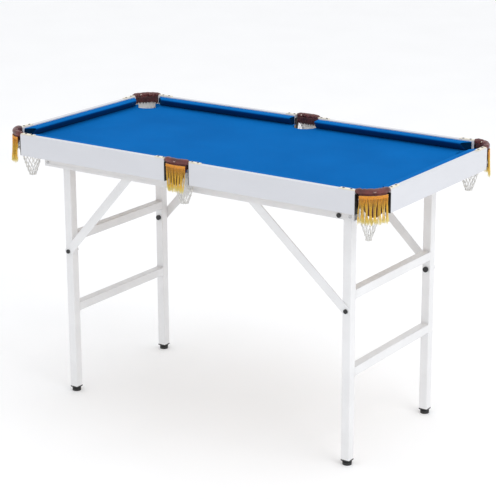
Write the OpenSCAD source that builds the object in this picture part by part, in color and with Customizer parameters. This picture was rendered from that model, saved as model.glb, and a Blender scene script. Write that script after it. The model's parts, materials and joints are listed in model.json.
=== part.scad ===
// Folding miniature pool table: a cloth-covered bed with six net pockets,
// carried by two steel leg frames that fold flat under the top.
// +X runs along the table, +Y across it and +Z up. The origin is on the floor
// under the middle of the table. "front" is -Y and "left" is -X.

/* [Table top] */
// Length over the outer panel faces
top_l = 1200; // [1120:1:1280]
// Width over the outer panel faces
top_w = 635; // [600:1:700]
// Height of the rim above the floor
rim_z = 770; // [740:1:800]
// Thickness of the side panels, which is the width of the rim
panel_t = 15; // [12:0.5:18]
// Height of the side panels
panel_h = 59; // [50:1:60]
// Depth of the playing cloth below the rim
bed_drop = 26; // [24:0.5:30]
// Thickness of the bed board
board_t = 18; // [15:1:18]

/* [Cushions] */
// How far the cushion nose stands in from the panel
cushion_w = 26; // [20:1:30]
// Height of the cushion above the cloth
cushion_h = 24; // [20:0.5:24]

/* [Pockets] */
// Distance from the corner to the end of each panel
corner_cut = 64; // [60:1:70]
// Distance of a corner hole's centre from both outer faces
corner_hole_in = 55; // [52:1:58]
// Radius of the six holes in the bed board
hole_r = 37; // [34:0.5:38]
// Half the gap in a long side at the middle pocket
middle_cut = 40; // [38:1:42]
// Distance of a middle hole's centre from the outer face
middle_hole_in = 22; // [20:1:24]
// Lowest point of the nets
net_bottom_z = 641; // [630:1:660]
// Lowest point of the leather flaps
flap_bottom_z = 712; // [700:1:720]
// Lowest point of the fringes
fringe_bottom_z = 688; // [680:1:700]

/* [Underframe] */
// Length of the two long rails
rail_l = 1002; // [980:1:1010]
// Height of a rail
rail_h = 50; // [48:1:52]
// Width of a rail
rail_w = 20; // [16:1:22]
// Distance from the middle of the table to a rail's outer face
rail_out_y = 260; // [258:0.5:260]

/* [Leg frames] */
// Side of the square leg tube
tube = 25; // [22:0.5:25]
// Distance of the legs from the middle, along the table
leg_x = 458; // [450:1:460]
// Distance of the leg centres from the middle, across the table
leg_y = 207.5; // [200:0.5:207.5]
// Height of the upper crossbars
upper_bar_z = 463; // [440:1:480]
// Height of the lower crossbars
lower_bar_z = 254; // [230:1:280]
// Height of the right frame's pivots
pivot_z_right = 684.5; // [684:0.5:685]
// Height of the left frame's pivots, which folds first and lies above
pivot_z_left = 711.5; // [711:0.5:712]

/* [Braces] */
// Width of the flat brace bar
brace_w = 24; // [20:1:24]
// Thickness of the brace bar
brace_t = 3; // [2:0.5:3]
// Distance between the two holes of a brace
brace_l = 390; // [380:1:400]
// Height of the bolts that hold the braces to the legs
brace_bolt_z = 423; // [410:1:440]

/* [Feet] */
// Radius of the levelling disc
foot_r = 12.5; // [10:0.5:12.5]
// Thickness of the levelling disc
foot_t = 8; // [6:1:9]
// Height of the lower end of the leg tubes
tube_bottom_z = 15; // [14:1:16]

/* [Hidden] */

$fn = 64;
small_fn = 24;                            // facets of screws and of the nets' slices
eps = 1;                                  // how far a cutting tool runs past a face

LEFT = -1;
RIGHT = 1;
FRONT = -1;
BACK = 1;
SIDES = [-1, 1];

// Levels and outlines of the top
half_l = top_l / 2;
half_w = top_w / 2;
inner_l = half_l - panel_t;               // inner face of an end panel
inner_w = half_w - panel_t;               // inner face of a long panel
cloth_t = 1;
cloth_z = rim_z - bed_drop;               // upper side of the cloth
board_top_z = cloth_z - cloth_t;
board_z = board_top_z - board_t;          // underside of the board
panel_z = rim_z - panel_h;

// Cushions: their section as parts of their width and height, and their slanting ends
cushion_foot = 0.45;
nose_low = 0.8;
nose_high = 0.96;
nose_round = 1.5;
corner_back = 70;                         // from the corner to a cushion's back
corner_nose = 92;                         // from the corner to a cushion's nose
middle_slant = 2;                         // how much later the nose starts at the middle

// Corner pocket: everything round is about the point where the two panels' ends meet
corner_x = half_l - corner_cut;
corner_y = half_w - corner_cut;
iron_in = panel_t / 2;                    // the bracket runs along the middle of the rim
iron_w = 8;
iron_t = 2.5;
iron_r = corner_cut - iron_in;            // radius of the bracket's bend at a corner
leather_w = 17;
leather_bottom_z = rim_z - 8;
leather_top_z = rim_z + 8;
leather_bevel = 4;
slot_gap = 0.2;                           // room round the bracket inside the leather
strip_t = 2;                              // black strips on the panels' ends
flap_t = 3;
flap_lap = 1;                             // how far a flap runs up into the leather roll
flap_out = 3.5;                           // how far outside the bracket a flap hangs
flap_margin = 8;                          // angle from a corner leather's end to its flap
fringe_t = 3;
fringe_margin = 9;
layer_gap = 0.3;                          // gap between the flap and the fringe
flap_r = iron_r + flap_out;

// Middle pocket: the bracket bulges out between the two panel ends
middle_bulge = 8;
middle_r = (middle_cut * middle_cut + middle_bulge * middle_bulge) / (2 * middle_bulge);
middle_cy = half_w - iron_in + middle_bulge - middle_r;
end_gap = 0.4;                            // gap between the leather and a panel's end
middle_angle = asin(middle_cut / middle_r);
middle_leather_angle = asin((middle_cut - end_gap) / (middle_r + leather_w / 2));
middle_flap_r = middle_r + flap_out;
middle_flap_angle = 17;
middle_fringe_angle = 16;

// Bracket arms and their screws
arm_w = 11;
arm_l = 46;                               // corner bracket arm past the end of the panel
middle_arm_l = 32;
arm_screws = [14, 36];                    // distances of the two screws from the panel's end
middle_arm_screws = [6, 24];
screw_r = 1.6;
pilot_r = 1.7;
screw_head_r = 3.2;
screw_head_top_r = 2.2;
screw_head_t = 1.4;
screw_l = 15;

// Nets
net_t = 1.5;
net_top_z = board_z;
net_corner_r = 39.5;                      // the hem bears on the board's underside
net_rings = [[27, 700], [22, 680], [16, 660]];   // radius and level down a corner net
net_knot_r = 9;
middle_net_r = 24;
middle_net_in = 33;                       // distance of a middle net from the outer face
middle_net_spread = 10;
middle_net_waist_z = 695;
slice_t = 0.1;

// Tubes, bolts and tracks
wall = 1.5;
rail_in_y = rail_out_y - rail_w;
rail_z = board_z - rail_h;
track_h = 8;
pivot_bolt_r = 4;
brace_bolt_r = 3;
running = 0.05;                           // radial clearance of a turning fit
face_gap = 0.3;                           // gap between faces that move past each other
head_r = 6;
head_t = 4;
brace_head_t = 3;
nut_r = 7.5;
nut_t = 6;
spacer_r = 8;
cross_w = 22;
cross_inset = 0.5;                        // from a rail's end to the cross member
cross_x = rail_l / 2 - cross_w / 2 - cross_inset;
rail_screw_rise = [10, 39];               // heights of the two screws above the rail's bottom
rail_screw_r = 2.5;
rail_screw_head_r = 4;
rail_screw_head_t = 1.5;
rail_screw_grip = 8;                      // how far a screw reaches into the cross member
leg_in_y = leg_y - tube / 2;
leg_out_y = leg_y + tube / 2;

// Braces: the lower end lies on the leg, and the bar slants out to the rail's track.
// The two frames' braces lie in planes of their own, so that they pass each other.
brace_y = leg_out_y + face_gap;
brace_step_right = 13;
brace_step_left = 6.5;
step_start = 14;                          // the flat ends, from the lower hole
step_end = brace_l - 14;
rivet_r = 5;
rivet_t = 1.2;
rise_right = asin((pivot_z_right - brace_bolt_z) / brace_l);
rise_left = asin((pivot_z_left - brace_bolt_z) / brace_l);
reach_right = brace_l * cos(rise_right);
reach_left = brace_l * cos(rise_left);

// Feet
cap_flange_t = 4;
cap_plug_h = 14;
cap_plug_gap = 0.1;
stem_r = 4;
stem_l = 26;
neck_r = 6;

function pivot_z(side) = side == LEFT ? pivot_z_left : pivot_z_right;

// ---------------------------------------------------------------- helpers

// Puts a shape drawn in the back right quarter into any quarter
module quarter(sx, sy) {
    mirror([sx < 0 ? 1 : 0, 0, 0]) mirror([0, sy < 0 ? 1 : 0, 0]) children();
}

// A box given by its lowest and highest corners
module span(low, high) {
    translate(low) cube(high - low);
}

// A round bar along Y from y0 to y1
module bar_y(x, z, r, y0, y1) {
    translate([x, y1, z]) rotate([90, 0, 0]) cylinder(r = r, h = y1 - y0);
}

// A section swept about the corner pocket's centre, through a quarter turn less a margin
module corner_sweep(margin = 0) {
    translate([corner_x, corner_y, 0]) rotate(margin)
        rotate_extrude(angle = 90 - 2 * margin) children();
}

// A section swept about the middle pocket's centre, half_angle to each side of +Y
module middle_sweep(half_angle) {
    translate([0, middle_cy, 0]) rotate(90 - half_angle)
        rotate_extrude(angle = 2 * half_angle) children();
}

// A rectangular section between two radii and two levels
module ring_section(r0, r1, z0, z1) {
    translate([r0, z0]) square([r1 - r0, z1 - z0]);
}

// ---------------------------------------------------------------- bed

// Outline of the board and the cloth, open at the six pockets
module bed_outline() {
    difference() {
        square([2 * inner_l, 2 * inner_w], center = true);
        for (sx = SIDES, sy = SIDES) quarter(sx, sy) {
            translate([half_l - corner_hole_in, half_w - corner_hole_in]) circle(r = hole_r);
            translate([half_l - corner_hole_in, half_w - corner_hole_in])
                square([corner_hole_in, corner_hole_in]);
        }
        for (sy = SIDES) quarter(1, sy) {
            translate([0, half_w - middle_hole_in]) circle(r = hole_r);
            translate([-hole_r, half_w - middle_hole_in]) square([2 * hole_r, middle_hole_in]);
        }
    }
}

module bed_board() {
    color("peru") translate([0, 0, board_z]) linear_extrude(board_t) bed_outline();
}

module playfield_cloth() {
    color("dodgerblue") translate([0, 0, board_top_z]) linear_extrude(cloth_t) bed_outline();
}

// Section of a cushion: u runs in from the panel, v up from the cloth
module cushion_section() {
    polygon([
        [0, 0], [cushion_foot * cushion_w, 0], [cushion_w, nose_low * cushion_h],
        [cushion_w - nose_round, nose_high * cushion_h], [0, cushion_h]
    ]);
}

// A cushion along +X whose back is on y = 0 and whose nose points to -Y.
// Each end is cut so that the nose starts further from the pocket than the back.
module cushion(x0, x1, nose_x0, nose_x1) {
    color("royalblue") translate([0, 0, cloth_z]) intersection() {
        translate([x0, 0, 0]) rotate([90, 0, 90]) mirror([1, 0, 0])
            linear_extrude(x1 - x0) cushion_section();
        linear_extrude(cushion_h)
            polygon([[x0, 0], [x1, 0], [nose_x1, -cushion_w], [nose_x0, -cushion_w]]);
    }
}

module long_cushion(sx, sy) {
    quarter(sx, sy) translate([0, inner_w, 0])
        cushion(middle_cut, half_l - corner_back,
                middle_cut + middle_slant, half_l - corner_nose);
}

module short_cushion(sx) {
    back = half_w - corner_back;
    nose = half_w - corner_nose;
    quarter(sx, 1) translate([inner_l, 0, 0]) rotate(-90) cushion(-back, back, -nose, nose);
}

// ---------------------------------------------------------------- panels

// Pilot holes for one bracket arm, along +X from the panel's end
module pilots(spots) {
    for (d = spots) translate([d, 0, rim_z - screw_l])
        cylinder(r = pilot_r, h = screw_l + eps, $fn = small_fn);
}

module long_panel(sx, sy) {
    color("white") quarter(sx, sy) difference() {
        span([middle_cut, inner_w, panel_z], [corner_x, half_w, rim_z]);
        translate([middle_cut, half_w - iron_in, 0]) pilots(middle_arm_screws);
        translate([corner_x, half_w - iron_in, 0]) mirror([1, 0, 0]) pilots(arm_screws);
    }
}

module end_panel(sx) {
    color("white") quarter(sx, 1) difference() {
        span([inner_l, -corner_y, panel_z], [half_l, corner_y, rim_z]);
        for (sy = SIDES) quarter(1, sy)
            translate([half_l - iron_in, corner_y, 0]) rotate(-90) pilots(arm_screws);
    }
}

// ---------------------------------------------------------------- pockets

// Section of the padded leather roll, with the slot that the bracket runs through
module leather_section(r) {
    in_r = r - leather_w / 2;
    out_r = r + leather_w / 2;
    difference() {
        polygon([
            [in_r, leather_bottom_z + leather_bevel], [in_r + leather_bevel, leather_bottom_z],
            [out_r - leather_bevel, leather_bottom_z], [out_r, leather_bottom_z + leather_bevel],
            [out_r, leather_top_z - leather_bevel], [out_r - leather_bevel, leather_top_z],
            [in_r + leather_bevel, leather_top_z], [in_r, leather_top_z - leather_bevel]
        ]);
        ring_section(r - iron_w / 2 - slot_gap, r + iron_w / 2 + slot_gap,
                     rim_z - slot_gap, rim_z + iron_t + slot_gap);
    }
}

module corner_leather(sx, sy) {
    color("brown") quarter(sx, sy) {
        corner_sweep() leather_section(iron_r);
        corner_sweep(flap_margin)
            ring_section(flap_r, flap_r + flap_t,
                         flap_bottom_z, leather_bottom_z + flap_lap);
    }
}

module middle_leather(sy) {
    color("brown") quarter(1, sy) {
        middle_sweep(middle_leather_angle) leather_section(middle_r);
        middle_sweep(middle_flap_angle)
            ring_section(middle_flap_r, middle_flap_r + flap_t,
                         flap_bottom_z, leather_bottom_z + flap_lap);
    }
}

// The six fringes, each a thin curtain outside its leather flap
module pocket_fringes() {
    corner_r = flap_r + flap_t + layer_gap;
    middle_fringe_r = middle_flap_r + flap_t + layer_gap;
    color("goldenrod") {
        for (sx = SIDES, sy = SIDES) quarter(sx, sy) corner_sweep(fringe_margin)
            ring_section(corner_r, corner_r + fringe_t,
                         fringe_bottom_z, leather_bottom_z - layer_gap);
        for (sy = SIDES) quarter(1, sy) middle_sweep(middle_fringe_angle)
            ring_section(middle_fringe_r, middle_fringe_r + fringe_t,
                         fringe_bottom_z, leather_bottom_z - layer_gap);
    }
}

// Black strips on the panels' ends, under the leather
module pocket_end_strips() {
    color("black") for (sx = SIDES, sy = SIDES) quarter(sx, sy) {
        span([corner_x, inner_w, panel_z], [corner_x + strip_t, half_w, leather_bottom_z]);
        span([inner_l, corner_y, panel_z], [half_l, corner_y + strip_t, leather_bottom_z]);
        span([middle_cut - strip_t, inner_w, panel_z], [middle_cut, half_w, leather_bottom_z]);
    }
}

// A flat arm on the rim, along +X from the panel's end, with two screw holes.
// The bend joins it at start.
module arm(start, length, spots) {
    difference() {
        translate([start, -arm_w / 2, rim_z]) cube([length - start, arm_w, iron_t]);
        for (d = spots) translate([d, 0, rim_z - eps])
            cylinder(r = pilot_r, h = iron_t + 2 * eps, $fn = small_fn);
    }
}

module corner_bracket() {
    corner_sweep() ring_section(iron_r - iron_w / 2, iron_r + iron_w / 2,
                                rim_z, rim_z + iron_t);
    translate([corner_x, half_w - iron_in, 0]) mirror([1, 0, 0]) arm(0, arm_l, arm_screws);
    translate([half_l - iron_in, corner_y, 0]) rotate(-90) arm(0, arm_l, arm_screws);
}

module middle_bracket() {
    middle_sweep(middle_angle) ring_section(middle_r - iron_w / 2, middle_r + iron_w / 2,
                                            rim_z, rim_z + iron_t);
    for (sx = SIDES) quarter(sx, 1) translate([middle_cut, half_w - iron_in, 0])
        arm(-eps, middle_arm_l, middle_arm_screws);
}

module pocket_brackets() {
    color("antiquewhite") {
        for (sx = SIDES, sy = SIDES) quarter(sx, sy) corner_bracket();
        for (sy = SIDES) quarter(1, sy) middle_bracket();
    }
}

// One countersunk screw with its head on the arm
module bracket_screw() {
    translate([0, 0, rim_z - screw_l + eps])
        cylinder(r = screw_r, h = screw_l + iron_t, $fn = small_fn);
    translate([0, 0, rim_z + iron_t])
        cylinder(r1 = screw_head_r, r2 = screw_head_top_r, h = screw_head_t, $fn = small_fn);
}

module screws_along(spots) {
    for (d = spots) translate([d, 0, 0]) bracket_screw();
}

module bracket_screws() {
    color("dimgray") {
        for (sx = SIDES, sy = SIDES) quarter(sx, sy) {
            translate([corner_x, half_w - iron_in, 0]) mirror([1, 0, 0]) screws_along(arm_screws);
            translate([half_l - iron_in, corner_y, 0]) rotate(-90) screws_along(arm_screws);
            translate([middle_cut, half_w - iron_in, 0]) screws_along(middle_arm_screws);
        }
    }
}

// Outer profile of a corner net, from the hem down to the knot: [radius, z]
function net_profile(shrink) = [
    [net_corner_r - shrink, net_top_z],
    for (ring = net_rings) [ring[0] - shrink, ring[1]],
    [net_knot_r - shrink, net_bottom_z + shrink],
    [0, net_bottom_z + shrink]
];

module corner_net(sx, sy) {
    outer = net_profile(0);
    inner = net_profile(net_t);
    color("whitesmoke") quarter(sx, sy)
        translate([half_l - corner_hole_in, half_w - corner_hole_in, 0])
            rotate_extrude() polygon(concat(outer, [for (i = [len(inner) - 1:-1:0]) inner[i]]));
}

// One level of a middle net: two round ends, spread apart along X
module net_slice(z, r, spread) {
    for (sx = SIDES) translate([sx * spread, 0, z])
        cylinder(r = r, h = slice_t, $fn = small_fn);
}

module net_bag(shrink) {
    hull() {
        net_slice(net_top_z - slice_t, middle_net_r - shrink, middle_net_spread);
        net_slice(middle_net_waist_z, middle_net_r - shrink, middle_net_spread / 2);
    }
    hull() {
        net_slice(middle_net_waist_z, middle_net_r - shrink, middle_net_spread / 2);
        net_slice(net_bottom_z + shrink, net_knot_r - shrink, 0);
    }
}

module middle_net(sy) {
    color("whitesmoke") quarter(1, sy) translate([0, half_w - middle_net_in, 0]) difference() {
        net_bag(0);
        net_bag(net_t);
        hull() {
            net_slice(net_top_z - eps, middle_net_r - net_t, middle_net_spread);
            net_slice(net_top_z + eps, middle_net_r - net_t, middle_net_spread);
        }
    }
}

// ---------------------------------------------------------------- underframe

// A long rail: a tube with a track in its inner wall for each frame's braces
module rail(sy) {
    half = rail_l / 2;
    track_right = [leg_x - (pivot_z_right - brace_bolt_z) - brace_l, leg_x - reach_right];
    track_left = [-leg_x + reach_left, -leg_x + (pivot_z_left - brace_bolt_z) + brace_l];
    color("gainsboro") quarter(1, sy) difference() {
        span([-half, rail_in_y, rail_z], [half, rail_out_y, board_z]);
        span([-half - eps, rail_in_y + wall, rail_z + wall],
             [half + eps, rail_out_y - wall, board_z - wall]);
        span([track_right[0] - track_h, rail_in_y - eps, pivot_z_right - track_h / 2],
             [track_right[1] + track_h, rail_in_y + wall + eps, pivot_z_right + track_h / 2]);
        span([track_left[0] - track_h, rail_in_y - eps, pivot_z_left - track_h / 2],
             [track_left[1] + track_h, rail_in_y + wall + eps, pivot_z_left + track_h / 2]);
        for (side = SIDES) {
            bar_y(side * leg_x, pivot_z(side), pivot_bolt_r, rail_in_y - eps, rail_out_y + eps);
            for (rise = rail_screw_rise)
                bar_y(side * cross_x, rail_z + rise, rail_screw_r,
                      rail_in_y - eps, rail_out_y + eps);
        }
    }
}

module cross_member(sx) {
    color("gainsboro") difference() {
        span([sx * cross_x - cross_w / 2, -rail_in_y, rail_z],
             [sx * cross_x + cross_w / 2, rail_in_y, board_z]);
        span([sx * cross_x - cross_w / 2 + wall, -rail_in_y + wall, rail_z + wall],
             [sx * cross_x + cross_w / 2 - wall, rail_in_y - wall, board_z - wall]);
        for (sy = SIDES, rise = rail_screw_rise) quarter(1, sy)
            bar_y(sx * cross_x, rail_z + rise, rail_screw_r,
                  rail_in_y - wall - eps, rail_in_y + eps);
    }
}

module rail_screws() {
    color("silver") for (sx = SIDES, sy = SIDES, rise = rail_screw_rise) quarter(sx, sy) {
        bar_y(cross_x, rail_z + rise, rail_screw_r, rail_in_y - rail_screw_grip, rail_out_y);
        bar_y(cross_x, rail_z + rise, rail_screw_head_r, rail_out_y,
              rail_out_y + rail_screw_head_t);
    }
}

// Bolts through rail, spacer and leg, with a cap nut inside the leg
module pivot_bolts() {
    color("black") for (sx = SIDES, sy = SIDES) quarter(sx, sy) {
        bar_y(leg_x, pivot_z(sx), pivot_bolt_r, leg_in_y - face_gap - nut_t / 2, rail_out_y);
        bar_y(leg_x, pivot_z(sx), head_r, rail_out_y, rail_out_y + head_t);
        bar_y(leg_x, pivot_z(sx), nut_r, leg_in_y - face_gap - nut_t, leg_in_y - face_gap);
    }
}

module pivot_spacers() {
    color("silver") for (sx = SIDES, sy = SIDES) quarter(sx, sy) difference() {
        bar_y(leg_x, pivot_z(sx), spacer_r, leg_out_y + face_gap, rail_in_y);
        bar_y(leg_x, pivot_z(sx), pivot_bolt_r + running, leg_out_y, rail_in_y + eps);
    }
}

// ---------------------------------------------------------------- leg frames

// A leg: square tube with a rounded top end about its pivot, open at the foot
module leg(sx, sy) {
    top = pivot_z(sx);
    color("white") quarter(sx, sy) difference() {
        union() {
            span([leg_x - tube / 2, leg_in_y, tube_bottom_z], [leg_x + tube / 2, leg_out_y, top]);
            bar_y(leg_x, top, tube / 2, leg_in_y, leg_out_y);
        }
        span([leg_x - tube / 2 + wall, leg_in_y + wall, tube_bottom_z - eps],
             [leg_x + tube / 2 - wall, leg_out_y - wall, top - tube]);
        bar_y(leg_x, top, pivot_bolt_r + running, leg_in_y - eps, leg_out_y + eps);
        bar_y(leg_x, brace_bolt_z, brace_bolt_r, leg_in_y - eps, leg_out_y + eps);
    }
}

module crossbar(sx, z) {
    color("white") difference() {
        span([sx * leg_x - tube / 2, -leg_in_y, z - tube / 2],
             [sx * leg_x + tube / 2, leg_in_y, z + tube / 2]);
        span([sx * leg_x - tube / 2 + wall, -leg_in_y - eps, z - tube / 2 + wall],
             [sx * leg_x + tube / 2 - wall, leg_in_y + eps, z + tube / 2 - wall]);
    }
}

// Bolts that hold the braces: head outside the brace, cap nut inside the leg
module brace_bolts(sx) {
    head_y = brace_y + brace_t + face_gap;
    color("black") for (sy = SIDES) quarter(sx, sy) {
        bar_y(leg_x, brace_bolt_z, brace_bolt_r, leg_in_y, head_y);
        bar_y(leg_x, brace_bolt_z, head_r, head_y, head_y + brace_head_t);
        bar_y(leg_x, brace_bolt_z, nut_r, leg_in_y - nut_t, leg_in_y);
    }
}

// Plug and flange in the foot of each leg, bored for the levelling stem
module leg_caps(sx) {
    plug = tube - 2 * wall - 2 * cap_plug_gap;
    color("black") for (sy = SIDES) quarter(sx, sy) translate([leg_x, leg_y, 0]) difference() {
        union() {
            translate([-plug / 2, -plug / 2, tube_bottom_z]) cube([plug, plug, cap_plug_h]);
            translate([-tube / 2, -tube / 2, tube_bottom_z - cap_flange_t])
                cube([tube, tube, cap_flange_t]);
        }
        translate([0, 0, tube_bottom_z - cap_flange_t - eps])
            cylinder(r = stem_r + running, h = cap_flange_t + cap_plug_h + 2 * eps);
    }
}

// Levelling foot: a disc, a neck and a stem that screws up into the cap
module leveler(sx, sy) {
    neck_top = tube_bottom_z - cap_flange_t - face_gap;
    color("black") quarter(sx, sy) translate([leg_x, leg_y, 0]) {
        cylinder(r = foot_r, h = foot_t);
        cylinder(r = neck_r, h = neck_top);
        cylinder(r = stem_r, h = neck_top + stem_l);
    }
}

// ---------------------------------------------------------------- braces

// A flat bar from its lower hole, along +u, that slants sideways by step.
// u runs along the bar, v across it and w from the leg towards the rail.
module brace_bar(step) {
    end = brace_l + brace_w / 2;
    difference() {
        intersection() {
            linear_extrude(brace_w, center = true) polygon([
                [-brace_w, 0], [step_start, 0], [step_end, step], [end, step],
                [end, step + brace_t], [step_end, step + brace_t],
                [step_start, brace_t], [-brace_w, brace_t]
            ]);
            rotate([-90, 0, 0]) linear_extrude(step + brace_t) {
                translate([0, -brace_w / 2]) square([brace_l, brace_w]);
                circle(r = brace_w / 2);
                translate([brace_l, 0]) circle(r = brace_w / 2);
            }
        }
        translate([0, brace_t + eps, 0]) rotate([90, 0, 0])
            cylinder(r = brace_bolt_r + running, h = brace_t + 2 * eps);
    }
    for (w = [step - rivet_t, step + brace_t]) translate([brace_l, w + rivet_t, 0])
        rotate([90, 0, 0]) cylinder(r = rivet_r, h = rivet_t);
}

module brace(sx, sy) {
    rise = sx == LEFT ? rise_left : rise_right;
    step = sx == LEFT ? brace_step_left : brace_step_right;
    color("gainsboro") quarter(sx, sy) translate([leg_x, brace_y, brace_bolt_z])
        rotate([0, rise, 0]) mirror([1, 0, 0]) brace_bar(step);
}

// ---------------------------------------------------------------- assembly

bed_board();
playfield_cloth();
long_cushion(LEFT, FRONT);  // cushion_front_left
long_cushion(RIGHT, FRONT);  // cushion_front_right
long_cushion(LEFT, BACK);  // cushion_back_left
long_cushion(RIGHT, BACK);  // cushion_back_right
short_cushion(LEFT);  // cushion_left
short_cushion(RIGHT);  // cushion_right
long_panel(LEFT, FRONT);  // panel_front_left
long_panel(RIGHT, FRONT);  // panel_front_right
long_panel(LEFT, BACK);  // panel_back_left
long_panel(RIGHT, BACK);  // panel_back_right
end_panel(LEFT);  // panel_left
end_panel(RIGHT);  // panel_right
corner_leather(LEFT, FRONT);  // pocket_leather_front_left
corner_leather(RIGHT, FRONT);  // pocket_leather_front_right
corner_leather(LEFT, BACK);  // pocket_leather_back_left
corner_leather(RIGHT, BACK);  // pocket_leather_back_right
middle_leather(FRONT);  // pocket_leather_front_middle
middle_leather(BACK);  // pocket_leather_back_middle
corner_net(LEFT, FRONT);  // pocket_net_front_left
corner_net(RIGHT, FRONT);  // pocket_net_front_right
corner_net(LEFT, BACK);  // pocket_net_back_left
corner_net(RIGHT, BACK);  // pocket_net_back_right
middle_net(FRONT);  // pocket_net_front_middle
middle_net(BACK);  // pocket_net_back_middle
pocket_fringes();
pocket_end_strips();
pocket_brackets();
bracket_screws();
rail(FRONT);  // rail_front
rail(BACK);  // rail_back
cross_member(LEFT);  // cross_member_left
cross_member(RIGHT);  // cross_member_right
rail_screws();
pivot_bolts();
pivot_spacers();
leg(LEFT, FRONT);  // leg_left_front
leg(LEFT, BACK);  // leg_left_back
leg(RIGHT, FRONT);  // leg_right_front
leg(RIGHT, BACK);  // leg_right_back
crossbar(LEFT, upper_bar_z);  // crossbar_left_upper
crossbar(LEFT, lower_bar_z);  // crossbar_left_lower
crossbar(RIGHT, upper_bar_z);  // crossbar_right_upper
crossbar(RIGHT, lower_bar_z);  // crossbar_right_lower
brace_bolts(LEFT);  // brace_bolts_left
brace_bolts(RIGHT);  // brace_bolts_right
leg_caps(LEFT);  // leg_caps_left
leg_caps(RIGHT);  // leg_caps_right
brace(LEFT, FRONT);  // brace_left_front
brace(LEFT, BACK);  // brace_left_back
brace(RIGHT, FRONT);  // brace_right_front
brace(RIGHT, BACK);  // brace_right_back
leveler(LEFT, FRONT);  // leveler_left_front
leveler(LEFT, BACK);  // leveler_left_back
leveler(RIGHT, FRONT);  // leveler_right_front
leveler(RIGHT, BACK);  // leveler_right_back
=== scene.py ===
import json
import math
import random

import bpy
from mathutils import Matrix, Vector, noise


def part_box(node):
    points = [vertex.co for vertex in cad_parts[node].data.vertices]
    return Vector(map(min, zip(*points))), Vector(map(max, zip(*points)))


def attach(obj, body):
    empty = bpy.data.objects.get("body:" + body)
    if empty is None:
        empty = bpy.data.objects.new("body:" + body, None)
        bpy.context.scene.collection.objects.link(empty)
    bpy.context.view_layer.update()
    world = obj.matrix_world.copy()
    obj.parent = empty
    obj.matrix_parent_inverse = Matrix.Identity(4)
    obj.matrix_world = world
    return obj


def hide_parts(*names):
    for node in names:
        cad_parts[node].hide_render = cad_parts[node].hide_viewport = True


# Looks of the folding miniature pool table. Lengths are in metres unless a name says mm.
# +X runs along the table, -Y is its front, and the origin is on the floor under its middle.
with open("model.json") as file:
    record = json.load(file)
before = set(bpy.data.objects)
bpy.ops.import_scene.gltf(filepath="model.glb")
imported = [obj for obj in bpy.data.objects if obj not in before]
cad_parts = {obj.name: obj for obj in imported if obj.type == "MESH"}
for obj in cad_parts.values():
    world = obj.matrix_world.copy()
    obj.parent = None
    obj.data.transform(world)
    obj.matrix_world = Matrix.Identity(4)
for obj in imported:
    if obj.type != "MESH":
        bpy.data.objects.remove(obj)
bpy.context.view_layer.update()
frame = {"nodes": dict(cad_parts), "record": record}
MM = 0.001
SIDES = (-1, 1)
TOP = "table_top"

# ------------------------------------------------------------------ places, from the frame
rim_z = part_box("panel_right")[1].z
half_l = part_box("panel_right")[1].x
half_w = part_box("panel_back_right")[1].y
inner_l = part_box("panel_right")[0].x
inner_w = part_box("panel_back_right")[0].y
corner_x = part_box("panel_back_right")[1].x        # the corner pockets turn about this point
corner_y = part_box("panel_right")[1].y
middle_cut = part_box("panel_back_right")[0].x
cloth_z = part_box("playfield_cloth")[1].z
board_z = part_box("bed_board")[0].z
net_low_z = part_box("pocket_net_back_right")[0].z
net_centre = (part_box("pocket_net_back_right")[0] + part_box("pocket_net_back_right")[1]) / 2
middle_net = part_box("pocket_net_back_middle")
leather_top_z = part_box("pocket_leather_back_right")[1].z
fringe_low_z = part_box("pocket_fringes")[0].z
rim_mid = (half_l - inner_l) / 2                  # the brackets run along the rim's middle
iron_r = half_l - corner_x - rim_mid
MIDDLE_BULGE = 8 * MM
MIDDLE_END_GAP = 0.5 * MM                         # from a middle band's end to the panel
BAND_REACH = 8.5 * MM                             # how far a band reaches outside its bend
middle_r = (middle_cut ** 2 + MIDDLE_BULGE ** 2) / (2 * MIDDLE_BULGE)
middle_cy = half_w - rim_mid + MIDDLE_BULGE - middle_r


def lerp(a, b, t):
    return a + (b - a) * t


def place_name(sx, sy):
    """front_left and so on, for the signs of x and y."""
    return ("back" if sy > 0 else "front") + ("_right" if sx > 0 else "_left")


def smooth(a, b, x):
    """0 below a, 1 above b and an even curve between."""
    t = min(1, max(0, (x - a) / (b - a)))
    return t * t * (3 - 2 * t)


def ramp(points, x):
    """Straight lines between (x, y) points."""
    for (x0, y0), (x1, y1) in zip(points, points[1:]):
        if x <= x1:
            return lerp(y0, y1, max(0, (x - x0) / (x1 - x0)))
    return points[-1][1]


# ------------------------------------------------------------------ materials

def new_material(name, color, roughness, **sockets):
    mat = bpy.data.materials.new(name)
    mat.use_nodes = True
    shader = mat.node_tree.nodes["Principled BSDF"]
    shader.inputs["Base Color"].default_value = (*color, 1)
    shader.inputs["Roughness"].default_value = roughness
    for key, value in sockets.items():
        shader.inputs[key.replace("_", " ")].default_value = value
    return mat, mat.node_tree, shader


def coordinates(tree):
    return tree.nodes.new("ShaderNodeTexCoord").outputs["Object"]


def noise_texture(tree, scale, detail=3, roughness=0.5, stretch=(1, 1, 1)):
    mapping = tree.nodes.new("ShaderNodeMapping")
    mapping.inputs["Scale"].default_value = stretch
    tree.links.new(coordinates(tree), mapping.inputs["Vector"])
    texture = tree.nodes.new("ShaderNodeTexNoise")
    texture.inputs["Scale"].default_value = scale
    texture.inputs["Detail"].default_value = detail
    texture.inputs["Roughness"].default_value = roughness
    tree.links.new(mapping.outputs["Vector"], texture.inputs["Vector"])
    return texture.outputs["Fac"]


def cells(tree, scale, feature="DISTANCE_TO_EDGE"):
    texture = tree.nodes.new("ShaderNodeTexVoronoi")
    texture.feature = feature
    texture.inputs["Scale"].default_value = scale
    tree.links.new(coordinates(tree), texture.inputs["Vector"])
    return texture


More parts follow.
